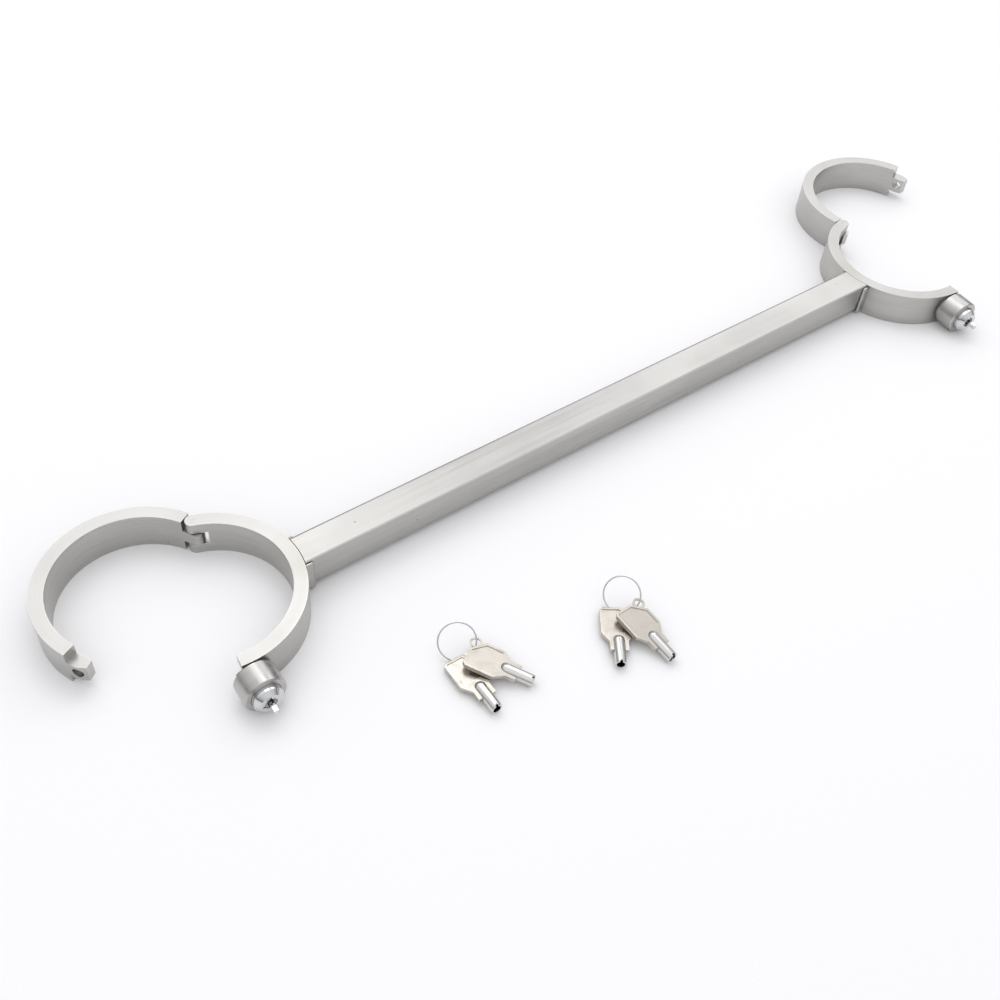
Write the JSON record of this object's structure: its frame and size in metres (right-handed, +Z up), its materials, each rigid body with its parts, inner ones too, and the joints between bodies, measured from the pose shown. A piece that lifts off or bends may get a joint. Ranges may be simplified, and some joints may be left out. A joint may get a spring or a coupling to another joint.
{
  "type": "rigid bar handcuffs with push locks",
  "caption": "Rigid bar handcuffs: two hinged steel cuffs welded to a square bar, both open, with tubular-key push locks, and two key rings with keys.",
  "frame": {"origin": "bottom centre of the whole set at rest, on the floor", "axes": "+X along the bar, from the left cuff to the right cuff; +Y towards the hinges, away from the locks; +Z up"},
  "size_m": [0.5634, 0.2146, 0.018],
  "materials": {
    "satin_steel": "satin-polished stainless steel",
    "nickel_bow": "nickel-plated die casting, satin",
    "nickel_tube": "polished nickel plate",
    "turned_steel": "turned steel",
    "chrome_plate": "polished chrome plate",
    "steel_wire": "bright drawn wire",
    "brass": "machined brass"
  },
  "bodies": {
    "frame": {"bar": "satin_steel", "left_fixed_half": "satin_steel", "left_hinge_pin": "satin_steel", "left_bar_weld": "satin_steel", "left_housing_weld": "satin_steel", "left_lock_housing": "satin_steel", "left_stop_pin": "turned_steel", "right_fixed_half": "satin_steel", "right_hinge_pin": "satin_steel", "right_bar_weld": "satin_steel", "right_housing_weld": "satin_steel", "right_lock_housing": "satin_steel", "right_stop_pin": "turned_steel"},
    "left_swing": {"left_swing_half": "satin_steel"},
    "left_barrel": {"left_lock_barrel": "chrome_plate", "left_lock_bolt": "turned_steel", "left_pin_block": "brass", "left_lock_spring": "steel_wire", "left_driver_pin_1": "turned_steel", "left_driver_pin_2": "turned_steel", "left_driver_pin_3": "turned_steel", "left_driver_pin_4": "turned_steel", "left_pin_spring_1": "steel_wire", "left_pin_spring_2": "steel_wire", "left_pin_spring_3": "steel_wire", "left_pin_spring_4": "steel_wire"},
    "left_plug": {"left_lock_plug": "chrome_plate", "left_key_pin_1": "turned_steel", "left_key_pin_2": "turned_steel", "left_key_pin_3": "turned_steel", "left_key_pin_4": "turned_steel"},
    "right_swing": {"right_swing_half": "satin_steel"},
    "right_barrel": {"right_lock_barrel": "chrome_plate", "right_lock_bolt": "turned_steel", "right_pin_block": "brass", "right_lock_spring": "steel_wire", "right_driver_pin_1": "turned_steel", "right_driver_pin_2": "turned_steel", "right_driver_pin_3": "turned_steel", "right_driver_pin_4": "turned_steel", "right_pin_spring_1": "steel_wire", "right_pin_spring_2": "steel_wire", "right_pin_spring_3": "steel_wire", "right_pin_spring_4": "steel_wire"},
    "right_plug": {"right_lock_plug": "chrome_plate", "right_key_pin_1": "turned_steel", "right_key_pin_2": "turned_steel", "right_key_pin_3": "turned_steel", "right_key_pin_4": "turned_steel"},
    "keys_near": {"ring_near": "steel_wire", "key_near_lower_bow": "nickel_bow", "key_near_lower_tube": "nickel_tube", "key_near_upper_bow": "nickel_bow", "key_near_upper_tube": "nickel_tube"},
    "keys_far": {"ring_far": "steel_wire", "key_far_lower_bow": "nickel_bow", "key_far_lower_tube": "nickel_tube", "key_far_upper_bow": "nickel_bow", "key_far_upper_tube": "nickel_tube"}
  },
  "joints": [
    {"name": "left_cuff_hinge", "type": "hinge", "parent": "frame", "child": "left_swing", "pos_m": [-0.20683, 0.05458, 0.009], "axis": [0, 0, -1], "range_deg": [-50.4, 55.1]},
    {"name": "left_lock_push", "type": "slide", "parent": "frame", "child": "left_barrel", "axis": [0.0422, 0.9991, 0], "range_m": [0, 0.005], "stiffness_N_per_m": 150, "springref_m": -0.003, "deforming": ["left_lock_spring"]},
    {"name": "left_lock_turn", "type": "hinge", "parent": "left_barrel", "child": "left_plug", "pos_m": [-0.22068, -0.03152, 0.009], "axis": [-0.0422, -0.9991, 0], "range_deg": [0, 90]},
    {"name": "right_cuff_hinge", "type": "hinge", "parent": "frame", "child": "right_swing", "pos_m": [0.20483, 0.05586, 0.009], "axis": [0, 0, 1], "range_deg": [-101.5, 4]},
    {"name": "right_lock_push", "type": "slide", "parent": "frame", "child": "right_barrel", "axis": [0.0972, 0.9953, 0], "range_m": [0, 0.005], "stiffness_N_per_m": 150, "springref_m": -0.003, "deforming": ["right_lock_spring"]},
    {"name": "right_lock_turn", "type": "hinge", "parent": "right_barrel", "child": "right_plug", "pos_m": [0.20657, -0.03133, 0.009], "axis": [-0.0972, -0.9953, 0], "range_deg": [0, 90]},
    {"name": "keys_near_lift", "type": "slide", "parent": "frame", "child": "keys_near", "axis": [0, 0, 1], "range_m": [0, 0.1]},
    {"name": "keys_far_lift", "type": "slide", "parent": "frame", "child": "keys_far", "axis": [0, 0, 1], "range_m": [0, 0.1]}
  ]
}
